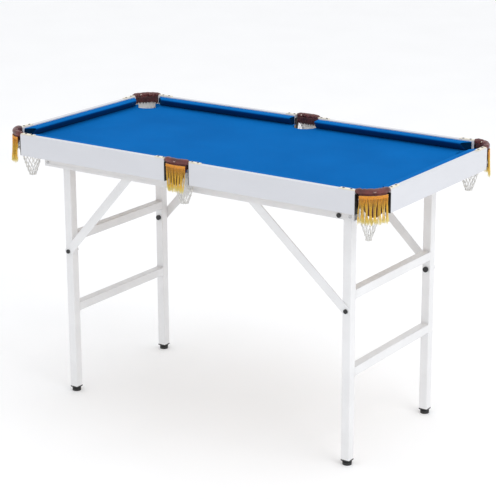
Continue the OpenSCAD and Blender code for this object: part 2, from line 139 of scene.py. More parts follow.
def between(tree, fac, low, high, a, b):
    """A colour that goes from a to b as fac goes from low to high."""
    node = tree.nodes.new("ShaderNodeValToRGB")
    node.color_ramp.elements[0].position = low
    node.color_ramp.elements[1].position = high
    node.color_ramp.elements[0].color = (*a, 1)
    node.color_ramp.elements[1].color = (*b, 1)
    tree.links.new(fac, node.inputs["Fac"])
    return node.outputs["Color"]


def mixed(tree, kind, fac, a, b):
    node = tree.nodes.new("ShaderNodeMix")
    node.data_type = "RGBA"
    node.blend_type = kind
    node.inputs["Factor"].default_value = fac
    tree.links.new(a, node.inputs["A"])
    tree.links.new(b, node.inputs["B"])
    return node.outputs["Result"]


def bump(tree, shader, height, strength, distance):
    node = tree.nodes.new("ShaderNodeBump")
    node.inputs["Strength"].default_value = strength
    node.inputs["Distance"].default_value = distance
    tree.links.new(height, node.inputs["Height"])
    tree.links.new(node.outputs["Normal"], shader.inputs["Normal"])


def tinted(tree, shader, a, b, scale, low=0.35, high=0.65, **more):
    """Base colour that wanders between a and b."""
    color = between(tree, noise_texture(tree, scale, **more), low, high, a, b)
    tree.links.new(color, shader.inputs["Base Color"])
    return color


def cloth_material(name, dark, light, with_painted_shade=False):
    """Short-pile cloth. With painted shade on, the mesh's tint attribute darkens it: on the cushions
    this is painted shade under the nose and on the cut ends.
    """
    mat, tree, shader = new_material(name, light, 0.95, Sheen_Weight=0.06, Sheen_Roughness=0.5)
    shader.inputs["Sheen Tint"].default_value = (0.05, 0.45, 1.0, 1)
    shader.inputs["Specular IOR Level"].default_value = 0.03
    broad = between(tree, noise_texture(tree, 5, 4), 0.3, 0.7, dark, light)
    nap = between(tree, noise_texture(tree, 900, 4, 0.7), 0.3, 0.7, (0.78, 0.78, 0.78), (1, 1, 1))
    color = mixed(tree, "MULTIPLY", 0.8, broad, nap)
    if with_painted_shade:
        # painted shade: the tint attribute darkens the cushion cloth under the nose and on the cut ends
        attribute = tree.nodes.new("ShaderNodeAttribute")
        attribute.attribute_name = "tint"
        color = mixed(tree, "MULTIPLY", 1.0, color, attribute.outputs["Color"])
    tree.links.new(color, shader.inputs["Base Color"])
    bump(tree, shader, noise_texture(tree, 1400, 3, 0.7), 0.35, 0.0006)
    return mat


def painted_material(name, color, roughness=0.42, peel=0.12):
    mat, tree, shader = new_material(name, color, roughness, Coat_Weight=0.15)
    shade = tuple(0.95 * c for c in color)
    tinted(tree, shader, shade, color, 14)
    bump(tree, shader, noise_texture(tree, 420, 2), peel, 0.0004)
    return mat


def laminate_material():
    color = (0.66, 0.67, 0.705)
    mat, tree, shader = new_material("panel_laminate", color, 0.34, Coat_Weight=0.1)
    tinted(tree, shader, (0.645, 0.655, 0.69), color, 9, stretch=(1, 1, 3))
    bump(tree, shader, noise_texture(tree, 240, 3), 0.06, 0.0004)
    return mat


def chipboard_material():
    mat, tree, shader = new_material("bed_chipboard", (0.42, 0.29, 0.17), 0.8)
    chips = cells(tree, 330, "F1")
    chip = between(tree, chips.outputs["Color"], 0.1, 0.9, (0.27, 0.17, 0.09), (0.55, 0.40, 0.25))
    dust = between(tree, noise_texture(tree, 60, 6), 0.3, 0.7, (0.75, 0.72, 0.7), (1, 1, 1))
    tree.links.new(mixed(tree, "MULTIPLY", 0.8, chip, dust), shader.inputs["Base Color"])
    bump(tree, shader, chips.outputs["Distance"], 0.25, 0.0005)
    return mat


def leather_material(name, dark, light, roughness=0.36):
    mat, tree, shader = new_material(name, light, roughness, Coat_Weight=0.18, Coat_Roughness=0.3)
    wear = between(tree, noise_texture(tree, 55, 5, 0.6), 0.32, 0.68, dark, light)
    grain = cells(tree, 620)
    pores = between(tree, grain.outputs["Distance"], 0.0, 0.12, (0.6, 0.55, 0.55), (1, 1, 1))
    tree.links.new(mixed(tree, "MULTIPLY", 0.7, wear, pores), shader.inputs["Base Color"])
    bump(tree, shader, grain.outputs["Distance"], 0.55, 0.0008)
    return mat


def thread_material(name, roughness, sheen, tint):
    """Fibres whose colour is in the mesh's tint attribute, with fine twisted ridges."""
    mat, tree, shader = new_material(name, tint, roughness, Sheen_Weight=sheen)
    attribute = tree.nodes.new("ShaderNodeAttribute")
    attribute.attribute_name = "tint"
    fibre = between(tree, noise_texture(tree, 1500, 2, stretch=(1, 1, 0.25)), 0.3, 0.7,
                    (0.74, 0.7, 0.66), (1, 1, 1))
    tree.links.new(mixed(tree, "MULTIPLY", 0.4, attribute.outputs["Color"], fibre),
                   shader.inputs["Base Color"])
    bump(tree, shader, noise_texture(tree, 1800, 2, stretch=(1, 1, 0.3)), 0.25, 0.0003)
    return mat


def plastic_material(name, color, roughness, grain=0.1):
    mat, tree, shader = new_material(name, color, roughness)
    tinted(tree, shader, tuple(0.9 * c for c in color), color, 90)
    bump(tree, shader, noise_texture(tree, 1100, 2), grain, 0.0003)
    return mat


def steel_material(name, color, roughness):
    mat, tree, shader = new_material(name, color, roughness, Metallic=1.0)
    tinted(tree, shader, tuple(0.75 * c for c in color), color, 160)
    bump(tree, shader, noise_texture(tree, 900, 3, stretch=(1, 1, 8)), 0.1, 0.0002)
    return mat


MATERIALS = {
    "board": chipboard_material(),
    "cloth": cloth_material("playing_cloth", (0.0008, 0.125, 0.43), (0.0015, 0.150, 0.50)),
    "cushion": cloth_material("cushion_cloth", (0.001, 0.135, 0.45), (0.002, 0.160, 0.53), True),
    "panel": laminate_material(),
    "leather": leather_material("pocket_leather", (0.062, 0.011, 0.010), (0.165, 0.025, 0.021)),
    "net": thread_material("net_string", 0.75, 0.2, (0.85, 0.85, 0.83)),
    "fringe": thread_material("fringe_thread", 0.5, 0.35, (0.8, 0.42, 0.06)),
    "strip": plastic_material("strip_plastic", (0.006, 0.006, 0.006), 0.5),
    "bracket": plastic_material("bracket_plastic", (0.88, 0.81, 0.66), 0.3),
    "dark_screw": steel_material("bracket_screw_steel", (0.05, 0.045, 0.04), 0.42),
    "frame_paint": painted_material("frame_paint", (0.82, 0.82, 0.825)),
    "screw": steel_material("plain_steel", (0.55, 0.55, 0.56), 0.33),
    "black_bolt": plastic_material("bolt_black", (0.012, 0.012, 0.013), 0.32, 0.05),
    "black_plastic": plastic_material("foot_plastic", (0.014, 0.014, 0.015), 0.45, 0.2),
}
# A darker copy of the pocket leather: painted shade for the skirt that shows inside the pocket.
leather_painted_shade = leather_material("pocket_leather_painted_shade", (0.035, 0.007, 0.006),
                                 (0.09, 0.015, 0.012), 0.5)
lining_cloth = cloth_material("pocket_lining", (0.86, 0.86, 0.85), (0.94, 0.94, 0.93))

# ------------------------------------------------------------------ mesh helpers


def new_piece(name, verts, faces, slot, body=TOP, tints=None, material=None, flat=False):
    """A named mesh piece with its material, that rides on a CAD body."""
    mesh = bpy.data.meshes.new(name)
    mesh.from_pydata([tuple(v) for v in verts], [], faces)
    mesh.validate()
    if tints:
        layer = mesh.color_attributes.new("tint", "FLOAT_COLOR", "POINT")
        layer.data.foreach_set("color", [c for t in tints for c in (*t, 1)])
    mesh.polygons.foreach_set("use_smooth", [not flat] * len(mesh.polygons))
    mesh.materials.append(material or MATERIALS[slot])
    piece = bpy.data.objects.new(name, mesh)
    bpy.context.scene.collection.objects.link(piece)
    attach(piece, body)
    return piece


def loft(rings, closed=True, caps=True, start=0):
    """Faces that join rings of equally many points, with start as the first point's number."""
    count = len(rings[0])
    faces = []
    for i in range(len(rings) - 1):
        a = start + i * count
        for j in range(count if closed else count - 1):
            k = (j + 1) % count
            faces.append((a + j, a + k, a + count + k, a + count + j))
    if caps:
        faces.append(tuple(start + j for j in reversed(range(count))))
        faces.append(tuple(start + (len(rings) - 1) * count + j for j in range(count)))
    return faces


class Soup:
    """Collects verts, faces and tints of many small shapes for one piece."""

    def __init__(self):
        self.verts = []
        self.faces = []
        self.tints = []

    def add_loft(self, rings, tints=None, closed=True, caps=True):
        self.faces += loft(rings, closed, caps, len(self.verts))
        for i, ring in enumerate(rings):
            self.verts += ring
            if tints:
                self.tints += [tints[i]] * len(ring)

    def tube(self, path, radii, tints=None, sides=6):
        """A round tube along a path, with one radius for each point."""
        rings = []
        for i, point in enumerate(path):
            ahead = path[min(i + 1, len(path) - 1)] - path[max(i - 1, 0)]
            ahead.normalize()
            guide = Vector((0, 0, 1)) if abs(ahead.z) < 0.9 else Vector((1, 0, 0))
            side = ahead.cross(guide).normalized()
            up = side.cross(ahead)
            turn = [math.tau * j / sides for j in range(sides)]
            rings.append([point + radii[i] * (math.cos(a) * side + math.sin(a) * up) for a in turn])
        self.add_loft(rings, tints)

    def ball(self, centre, radius, tint=None, sides=8, levels=5):
        rings = []
        for i in range(levels + 1):
            a = math.pi * (0.06 + 0.88 * i / levels)
            rings.append([
                centre + radius * Vector((math.sin(a) * math.cos(math.tau * j / sides),
                                          math.sin(a) * math.sin(math.tau * j / sides), math.cos(a)))
                for j in range(sides)
            ])
        self.add_loft(rings[::-1], [tint] * (levels + 1) if tint else None)

    def piece(self, name, slot, body=TOP, **more):
        return new_piece(name, self.verts, self.faces, slot, body, self.tints or None, **more)


class Corner:
    """Places points about a corner pocket: t from 0 to 1 round the bend, r from its centre."""

    def __init__(self, sx, sy):
        self.sx, self.sy = sx, sy
        self.name = place_name(sx, sy)
        self.iron_r = iron_r
        self.length = iron_r * math.pi / 2

    def at(self, t, r, z):
        a = t * math.pi / 2
        x = corner_x + r * math.cos(a)
        y = corner_y + r * math.sin(a)
        return Vector((self.sx * x, self.sy * y, z))

    def flips(self):
        return self.sx * self.sy < 0


class Middle:
    """Places points about a middle pocket: t from 0 to 1 along its shallow bulge."""

    def __init__(self, sy):
        self.sy = sy
        self.name = ("back" if sy > 0 else "front") + "_middle"
        self.iron_r = middle_r
        self.angle = math.asin((middle_cut - MIDDLE_END_GAP) / (middle_r + BAND_REACH))
        self.length = 2 * self.angle * middle_r

    def at(self, t, r, z):
        a = math.pi / 2 + self.angle * (1 - 2 * t)
        return Vector((r * math.cos(a), self.sy * (middle_cy + r * math.sin(a)), z))

    def flips(self):
        return self.sy > 0


POCKETS = [Corner(sx, sy) for sy in SIDES for sx in SIDES] + [Middle(sy) for sy in SIDES]


def wound(pocket, faces):
    """Faces turned to look outwards on pockets that are mirrored."""
    return [tuple(reversed(f)) for f in faces] if pocket.flips() else faces


# ------------------------------------------------------------------ pockets

BAND_HALF_W = 8.2 * MM
BAND_HALF_H = 7.6 * MM
BAND_CREASES = 11
BACK_GATHER = 3.4                       # how deep the creases are inside the pocket
FRONT_GATHER = 1.6
FLAP_R = 3.6 * MM                       # how far outside the bracket's bend the flap hangs
FLAP_TOP = 14 * MM                      # flap's top edge below the leather's top
FLAP_THICK = 1.8 * MM
FLAP_SIDE_DROP = 24 * MM                # flap's lower edge below the rim, at its sides
FLAP_TONGUE = 40 * MM                   # how much lower the tongue hangs in the middle
LINING_THICK = 0.8 * MM
LINING_IN = 0.02                        # how much narrower the lining is, as a share of the bend
LINING_SHORT = 3 * MM
SKIRT_DROP = 20 * MM
SKIRT_PLEAT = 8.5 * MM
SKIRT_THICK = 1.0 * MM
HOLE_R = 37 * MM
MIDDLE_HOLE_IN = 22 * MM                # middle hole's centre to the outer face
CORNER_HOLE_TURN = 270                  # degrees of a corner hole's edge that the board has
MIDDLE_HOLE_TURN = 180


def narrowed(ring, k):
    """A ring drawn in towards its middle by the share k."""
    middle = sum(ring, Vector()) / len(ring)
    return [lerp(p, middle, k) for p in ring]


def leather_band(pocket, seed):
    """The padded roll: a rounded section with creases across it and tucks at both ends."""
    rng = random.Random(seed)
    creases = [(rng.uniform(0.12, 0.88), rng.uniform(0.35, 0.9) * MM, rng.uniform(1.5, 3.5) * MM,
                rng.uniform(-0.6, 0.6)) for _ in range(BAND_CREASES)]
    gather = BACK_GATHER if pocket.sy > 0 else FRONT_GATHER
    steps, count = 96, 28
    mid_z = leather_top_z - 8 * MM
    rings = []
    for i in range(steps + 1):
        t = i / steps
        from_end = min(t, 1 - t) * pocket.length
        waist = lerp(0.72, 1.0, smooth(0, 9 * MM, from_end))
        ring = []
        for j in range(count):
            a = math.tau * j / count
            c, s = math.cos(a), math.sin(a)
            u = BAND_HALF_W * math.copysign(abs(c) ** 0.8, c)
            v = BAND_HALF_H * math.copysign(abs(s) ** 0.85, s)
            tuck = 0.55 * MM * math.sin(7 * a + seed) * (1 - smooth(0, 13 * MM, from_end))
            dent = 0
            for place, depth, width, lean in creases:
                away = t * pocket.length - (place * pocket.length + lean * v)
                dent += depth * math.exp(-(away / width) ** 2)
            dent *= lerp(0.3, gather, smooth(-0.5, 0.5, -c))
            swell = 0.5 * MM * noise.noise(Vector((t * 5 + seed, c, s)))
            shrink = (tuck - dent + swell) / BAND_HALF_W
            u *= waist * (1 + shrink)
            v *= waist * (1 + shrink)
            ring.append(pocket.at(t, pocket.iron_r + u, mid_z + v))
        rings.append(ring)
    rings = [narrowed(rings[0], 0.5), narrowed(rings[0], 0.12)] + rings
    rings += [narrowed(rings[-1], 0.12), narrowed(rings[-1], 0.5)]
    verts = [v for ring in rings for v in ring]
    band = new_piece(f"leather_band_{pocket.name}", verts, wound(pocket, loft(rings)), "leather")
    return band


def flap_low(t):
    """Height of the flap's lower edge: a tongue, lowest in the middle."""
    return rim_z - FLAP_SIDE_DROP - FLAP_TONGUE * (1 - abs(2 * t - 1) ** 2.2)


def lining_low(t):
    return flap_low(t) + LINING_SHORT


def hanging_sheet(pocket, span, r0, thick, top_z, low_at, seed):
    """Points and faces of a thin sheet that hangs along a pocket's bend, waving a little."""
    steps, drops = 40, 14
    outer, inner = [], []
    for i in range(steps + 1):
        k = i / steps
        t = lerp(*span, k)
        for j in range(drops + 1):
            d = j / drops
            z = lerp(top_z, low_at(k), d)
            wave = 0.7 * MM * math.sin(9 * math.pi * k + seed) * d
            r = r0 + wave + 1.0 * MM * d
            outer.append(pocket.at(t, r + thick / 2, z))
            inner.append(pocket.at(t, r - thick / 2, z))
    shift = len(outer)
    row = drops + 1
    faces = []
    for i in range(steps):
        for j in range(drops):
            a = i * row + j
            faces.append((a, a + 1, a + row + 1, a + row))
            faces.append((shift + a, shift + a + row, shift + a + row + 1, shift + a + 1))
    for i in range(steps):
        top, low = i * row, i * row + drops
        faces.append((top, top + row, shift + top + row, shift + top))
        faces.append((low, shift + low, shift + low + row, low + row))
    for j in range(drops):
        first, last = j, steps * row + j
        faces.append((first, shift + first, shift + first + 1, first + 1))
        faces.append((last, last + 1, shift + last + 1, shift + last))
    return outer + inner, wound(pocket, faces)


def declare_hung(pocket, top_z, low_at):
    """Works out how far a hanging sheet drops below its top at evenly spaced places; the heights are
    not used.
    """
    samples = 40
    heights = [top_z - low_at(i / samples) for i in range(samples + 1)]


def leather_flap(pocket, seed):
    """The leather tongue that hangs outside the pocket, and the pale lining inside it."""
    span = (0.09, 0.91) if isinstance(pocket, Middle) else (0.12, 0.88)
    top_z = leather_top_z - FLAP_TOP
    r0 = pocket.iron_r + FLAP_R
    verts, faces = hanging_sheet(pocket, span, r0, FLAP_THICK, top_z, flap_low, seed)
    flap = new_piece(f"leather_flap_{pocket.name}", verts, faces, "leather")
    declare_hung(pocket, top_z, flap_low)
    inner_span = (span[0] + LINING_IN, span[1] - LINING_IN)
    verts, faces = hanging_sheet(pocket, inner_span, r0 - FLAP_THICK, LINING_THICK, top_z,
                                 lining_low, seed)
    lining = new_piece(f"flap_lining_{pocket.name}", verts, faces, "net", material=lining_cloth)
    declare_hung(pocket, top_z, lining_low)


def leather_skirt(pocket, seed):
    """The gathered inner edge of the leather, pleated, that shows inside the pocket."""
    steps, drops = 120, 5
    top_z = leather_top_z - 12 * MM
    pleats = round(pocket.length / SKIRT_PLEAT)
    verts, faces = [], []
    for i in range(steps + 1):
        t = i / steps
        fold = math.sin(math.tau * pleats * t + seed)
        for j in range(drops + 1):
            d = j / drops
            drop = (SKIRT_DROP + 2.4 * MM * fold) * d
            r = pocket.iron_r - 4.2 * MM + 1.3 * MM * fold * d
            verts.append(pocket.at(t, r, top_z - drop))
    row = drops + 1
    for i in range(steps):
        for j in range(drops):
            a = i * row + j
            faces.append((a, a + row, a + row + 1, a + 1))
    # the skirt takes the darker leather copy, painted shade inside the pocket
    skirt = new_piece(f"leather_skirt_{pocket.name}", verts, wound(pocket, faces), "leather",
                      material=leather_painted_shade)
    thick = skirt.modifiers.new("thickness", "SOLIDIFY")
    thick.thickness = SKIRT_THICK
    thick.offset = 0


GOLD_TOP = (1.0, 0.42, 0.02)
GOLD_MID = (1.0, 0.60, 0.04)
GOLD_TIP = (1.0, 0.82, 0.24)
FRINGE_R = 7.4 * MM                     # how far outside the bracket's bend the fringe hangs
CORD_GAP = 3.1 * MM
CORD_R = 0.66 * MM                      # radius of one ply
PLY_OFF = 0.55 * MM                     # from a cord's middle to its plies'
CORD_BUNCH = 3                          # cords that draw together
CORD_TOP = 5 * MM                       # where the cords start below the heading's top
LOOSE_THREADS = 7                       # at each cord's end
THREAD_RADII = [radius * MM for radius in (0.5, 0.5, 0.48, 0.45, 0.38, 0.22)]
BRAID_ROWS = 3
STITCH_LONG = 1.9 * MM
CORD_TWIST = 5.0 * MM                   # length of one turn of the cords' two plies


def gold(d, tone=1.0):
    """Thread colour at depth d, from orange gold at the heading to pale tips."""
    base = [lerp(a, b, smooth(0.0, 0.45, d)) for a, b in zip(GOLD_TOP, GOLD_MID)]
    base = [lerp(a, b, smooth(0.6, 0.95, d)) for a, b in zip(base, GOLD_TIP)]
    return tuple(min(1, c * tone) for c in base)


def braid(soup, pocket, t0, t1, r0, top_z, rng):
    """The heading: rows of stitches that lean by turns to either side."""
    stitches = round((t1 - t0) * pocket.length / STITCH_LONG)
    half = 0.62 * (t1 - t0) / stitches
    for row in range(BRAID_ROWS):
        z = top_z - (1.6 + 2.6 * row) * MM
        lean = 1.2 * MM if row % 2 else -1.2 * MM
        for i in range(stitches):
            t = lerp(t0, t1, (i + 0.5) / stitches)
            path = [pocket.at(t - half, r0 - 0.3 * MM, z - lean), pocket.at(t, r0 + 0.7 * MM, z),
                    pocket.at(t + half, r0 - 0.3 * MM, z + lean)]
            soup.tube(path, [0.65 * MM, 0.95 * MM, 0.65 * MM], [gold(0, rng.uniform(0.85, 1.1))] * 3,
                      sides=5)


def fringe(pocket, seed):
    """Braid with two rows of twisted cords, which draw together in pairs and end in loose threads."""
    rng = random.Random(seed)
    soup = Soup()
    middle = isinstance(pocket, Middle)
    t0, t1 = (0.11, 0.89) if middle else (0.115, 0.885)
    squeeze = 0.80 if middle else 1.0   # the cords draw together towards the tips
    flare = 2.0 * MM if middle else 4.0 * MM
    top_z = rim_z - 9 * MM
    r0 = pocket.iron_r + FRINGE_R
    braid(soup, pocket, t0, t1, r0, top_z, rng)
    full = top_z - fringe_low_z + 4 * MM
    count = round((t1 - t0) * pocket.length / CORD_GAP)
    bunch = CORD_BUNCH
    steps = 22
    shifts = [rng.uniform(-0.8, 0.8) for _ in range(count // bunch + 2)]
    pulls = [rng.uniform(0.1, 0.62) for _ in range(count // bunch + 2)]
    for layer in SIDES:
        for i in range(count):
            k = (i + 0.5 + 0.25 * layer) / count
            group = i // bunch
            home = (group * bunch + bunch / 2 + shifts[group]) / count
            # the back row of cords is made darker by 0.78: painted shade behind the front row
            tone = rng.uniform(0.7, 1.05) * (1 if layer > 0 else 0.78)
            sway, phase = rng.uniform(-1, 1), rng.uniform(0, math.tau)
            length = full * rng.uniform(0.88, 0.985)
            split = rng.uniform(0.62, 0.74)

            def at(d, side=0.0, out=0.0):
                pull = pulls[group] * smooth(0.1, 0.5, d) - 0.8 * pulls[group] * smooth(0.66, 1, d)
                across = lerp(k, home, pull)
                across = 0.5 + (across - 0.5) * lerp(1, squeeze, smooth(0.05, 1, d))
                t = lerp(t0, t1, across) + side / pocket.length
                t += 0.9 * MM / pocket.length * math.sin(phase + 5 * d) * sway * smooth(0, 0.3, d)
                r = r0 - 0.2 * MM + 0.9 * MM * layer + flare * d ** 1.5 * (0.85 + 0.25 * sway)
                return pocket.at(t, r + out, top_z - CORD_TOP - (length - CORD_TOP) * d)

            for ply in range(2):
                path = []
                for j in range(steps + 1):
                    d = split * j / steps
                    turn = math.tau * length * d / CORD_TWIST + ply * math.pi + phase
                    path.append(at(d, PLY_OFF * math.cos(turn), PLY_OFF * math.sin(turn)))
                ply_tone = tone * (1.0 if ply else 0.86)
                tints = [gold(split * j / steps, ply_tone) for j in range(steps + 1)]
                soup.tube(path, [CORD_R] * (steps + 1), tints, sides=4)
            for _ in range(LOOSE_THREADS):
                fan, lift = rng.uniform(-2.6, 2.6) * MM, rng.uniform(-1.2, 1.2) * MM
                end = rng.uniform(0.9, 1.0)
                path, tints = [], []
                for j in range(len(THREAD_RADII)):
                    along = j / (len(THREAD_RADII) - 1)
                    spread = along ** 0.8
                    path.append(at(lerp(split - 0.03, end, along), fan * spread, lift * spread))
                    tints.append(gold(lerp(0.55, 1, along), rng.uniform(0.92, 1.08)))
                soup.tube(path, THREAD_RADII, tints, sides=3)
    return soup.piece(f"fringe_{pocket.name}", "fringe")


def tuck_stitches(pocket):
    """Two short pale stitches that hold the tuck at the middle of the band."""
    soup = Soup()
    z = leather_top_z - 7.5 * MM
    r = pocket.iron_r + BAND_HALF_W
    for lean in SIDES:
        t = 0.5 + lean * 1.6 * MM / pocket.length
        path = [pocket.at(t - lean * 1.5 * MM / pocket.length, r - 0.9 * MM, z - 1.6 * MM),
                pocket.at(t, r + 0.35 * MM, z),
                pocket.at(t + lean * 1.5 * MM / pocket.length, r - 0.9 * MM, z + 1.6 * MM)]
        soup.tube(path, [0.4 * MM, 0.55 * MM, 0.4 * MM], [STITCH_TINT] * 3)
    return soup.piece(f"band_stitches_{pocket.name}", "net")


NET_WHITE = (0.86, 0.86, 0.84)
STRING_R = 0.85 * MM
HEM_R = 1.5 * MM
KNOT_R = 1.75 * MM
TIED_KNOT_R = 3.0 * MM
HEM_DOWN = 1.2 * MM                     # hem cord below the underside of the board
NET_LOW_MM = 7.5                        # radius at the bottom
MIDDLE_NET_MM = 695                     # height above which a middle net hangs straight
NET_TIED_Z = 4 * MM                     # tied bottom above the CAD net's lowest point
NET_DROP = {"front_right": 9 * MM, "front_middle": -6 * MM}   # how much lower these nets hang
NET_FAMILIES = 12                       # strings each way
NET_ROWS = 7
STITCH_TINT = (0.75, 0.55, 0.48)


def net_profile(z):
    """Radius of a corner net at a height, inside its CAD envelope."""
    points = [(net_low_z / MM, NET_LOW_MM), (660, 14.6), (680, 20.8), (700, 26.0), (board_z / MM, 37.6)]
    return MM * ramp(points, z / MM)


def corner_size(z):
    return net_profile(z), net_profile(z)


def middle_profile(z):
    """Half sizes in X and Y of a middle net at a height."""
    half_y = (middle_net[1].y - middle_net[0].y) / 2
    half_x = (middle_net[1].x - middle_net[0].x) / 2
    top_mm = board_z / MM
    bottom = (net_low_z / MM, NET_LOW_MM)
    wide = [bottom, (MIDDLE_NET_MM, half_x / MM - 6.5), (top_mm, half_x / MM - 1.2)]
    deep = [bottom, (MIDDLE_NET_MM, half_y / MM - 1.2), (top_mm, half_y / MM - 1.2)]
    return MM * ramp(wide, z / MM), MM * ramp(deep, z / MM)


def string_net(name, centre, size_at, drop, seed):
    """A bag of crossing strings with a knot at every crossing, a hem cord and a tied bottom."""
    rng = random.Random(seed)
    soup = Soup()
    families, twist_rows, steps, hem_steps = NET_FAMILIES, NET_ROWS, 36, 60
    top_z, low_z = board_z - HEM_DOWN, net_low_z + NET_TIED_Z - drop
    step_angle = math.tau / families

    def place(angle, d):
        z = lerp(top_z, low_z, d)
        rx, ry = size_at(z)
        sag = 1 - 0.035 * math.sin(math.pi * twist_rows * d) ** 2
        wander = 0.05 * noise.noise(Vector((math.cos(angle), math.sin(angle), 4 * d + seed)))
        a = angle + wander
        return centre + Vector((rx * sag * math.cos(a), ry * sag * math.sin(a), z - centre.z))

    for way in SIDES:
        for n in range(families):
            first = step_angle * (n + 0.25)
            path, radii, tints = [], [], []
            tone = rng.uniform(0.9, 1.05)
            for i in range(steps + 1):
                d = i / steps
                path.append(place(first + way * step_angle * twist_rows / 2 * d, d))
                radii.append(STRING_R * (0.9 + 0.15 * math.sin(40 * d + n)))
                tints.append(tuple(c * tone for c in NET_WHITE))
            soup.tube(path, radii, tints, sides=5)
    for row in range(twist_rows + 1):
        d = row / twist_rows
        for n in range(families):
            angle = step_angle * (n + 0.25 + row / 2)
            soup.ball(place(angle, d), KNOT_R, NET_WHITE, sides=6, levels=4)
    hem = [place(math.tau * i / hem_steps, 0) for i in range(hem_steps + 1)]
    soup.tube(hem, [HEM_R] * len(hem), [NET_WHITE] * len(hem), sides=6)
    # the bottom is drawn together into one knot
    knot = Vector((centre.x, centre.y, low_z))
    for n in range(families):
        edge = place(step_angle * n, 1)
        path = [edge, lerp(edge, knot, 0.5) - Vector((0, 0, 1.6 * MM)), knot - Vector((0, 0, 0.8 * MM))]
        soup.tube(path, [STRING_R] * 3, [NET_WHITE] * 3, sides=5)
    soup.ball(knot - Vector((0, 0, 0.3 * MM)), TIED_KNOT_R, NET_WHITE, sides=10, levels=6)
    return soup.piece(name, "net")


def net_hangers(pocket, centre, size_at, name):
    """Loops that carry the net's hem from inside the leather, over the edge of the bed."""
    soup = Soup()
    count = 7
    for i in range(count + 1):
        t = lerp(0.06, 0.94, i / count)
        top = pocket.at(t, pocket.iron_r - 2.4 * MM, rim_z - 20 * MM)
        way = Vector((top.x - centre.x, top.y - centre.y, 0)).normalized()
        for side in SIDES:
            turn = Matrix.Rotation(side * 0.16, 3, "Z") @ way
            rx, ry = size_at(board_z)
            end = Vector((centre.x + rx * turn.x, centre.y + ry * turn.y, board_z - HEM_DOWN))
            half = lerp(top, end, 0.5) - way * 2 * MM
            soup.tube([top, half, end], [STRING_R] * 3, [NET_WHITE] * 3, sides=5)
    return soup.piece(name, "net")


def make_pockets():
    for seed, pocket in enumerate(POCKETS):
        band = leather_band(pocket, seed + 3)
        leather_flap(pocket, seed)
        leather_skirt(pocket, seed)
        cloth_wrap(pocket)
        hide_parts(f"pocket_leather_{pocket.name}")
        tuck_stitches(pocket)
        gold_fringe = fringe(pocket, seed + 20)
        if pocket.name == "front_left":
            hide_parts("pocket_fringes")
        if isinstance(pocket, Corner):
            centre = Vector((pocket.sx * net_centre.x, pocket.sy * net_centre.y, board_z))
            size_at = corner_size
        else:
            centre = Vector((0, pocket.sy * (middle_net[0].y + middle_net[1].y) / 2, board_z))
            size_at = middle_profile
        drop = NET_DROP.get(pocket.name, 0)
        bag = string_net(f"string_net_{pocket.name}", centre, size_at, drop, seed)
        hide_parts(f"pocket_net_{pocket.name}")
        net_hangers(pocket, centre, size_at, f"net_hangers_{pocket.name}")


def cloth_wrap(pocket):
    """The edge of the playing cloth, turned down over the board's cut edge."""
    if isinstance(pocket, Corner):
        centre = Vector((pocket.sx * net_centre.x, pocket.sy * net_centre.y, cloth_z))
        mirror_x, steps, turn = pocket.sx, 60, CORNER_HOLE_TURN
    else:
        centre = Vector((0, pocket.sy * (half_w - MIDDLE_HOLE_IN), cloth_z))
        mirror_x, steps, turn = 1, 40, MIDDLE_HOLE_TURN
    # points of the cloth's section: (distance from the hole's middle, mm above the cloth)
    section = [(HOLE_R + 1.6 * MM, 0.02), (HOLE_R + 1.4 * MM, 0.3), (HOLE_R, 0.34),
               (HOLE_R - 0.6 * MM, -0.1), (HOLE_R - 0.7 * MM, -1.2), (HOLE_R - 0.5 * MM, -17.0),
               (HOLE_R - 0.1 * MM, -17.0), (HOLE_R - 0.1 * MM, -0.6)]
    rings = []
    for i in range(steps + 1):
        a = math.radians(-turn * i / steps)
        out = Vector((mirror_x * math.cos(a), pocket.sy * math.sin(a), 0))
        rings.append([centre + out * r + Vector((0, 0, rise * MM)) for r, rise in section])
    verts = [v for ring in rings for v in ring]
    faces = loft(rings)
    if not pocket.flips():
        faces = [tuple(reversed(f)) for f in faces]
    wrap = new_piece(f"cloth_wrap_{pocket.name}", verts, faces, "cloth")


# ------------------------------------------------------------------ cushions

CUSHION_W = 26 * MM
BACK_CUT = 70 * MM                      # cushion back to the corner
NOSE_CUT = 92 * MM                      # cushion nose to the corner
NOSE_SLANT = 2 * MM                     # how far the nose stops short at the middle pockets
UNDER_SHADE = 0.28                      # painted shade: darker cloth under the nose
END_SHADE = 0.12                        # painted shade: darker cut ends
SHADE_LOW = 16 * MM                     # heights between which the painted shade fades out
SHADE_HIGH = 23.4 * MM
SHADE_BACK = 8 * MM                     # nearer the panel the cloth gets no painted shade


def cushion_outline():
    """Section from the foot at the panel round the nose to the top: (u inwards, v up)."""
    foot = [(0.3, 0.0), (6.0, 0.0), (11.0, 0.0), (12.2, 0.6)]
    face = [(16.4, 6.4), (20.6, 12.6), (24.2, 17.8)]
    nose = [(25.9, 19.7), (25.9, 21.2), (25.0, 22.5), (23.3, 23.2)]
    top = [(17.0, 23.6), (10.0, 23.8), (3.0, 23.9), (0.9, 23.6), (0.3, 22.8)]
    back = [(0.3, 15.0), (0.3, 7.0)]
    return [(u * MM, v * MM) for u, v in foot + face + nose + top + back]


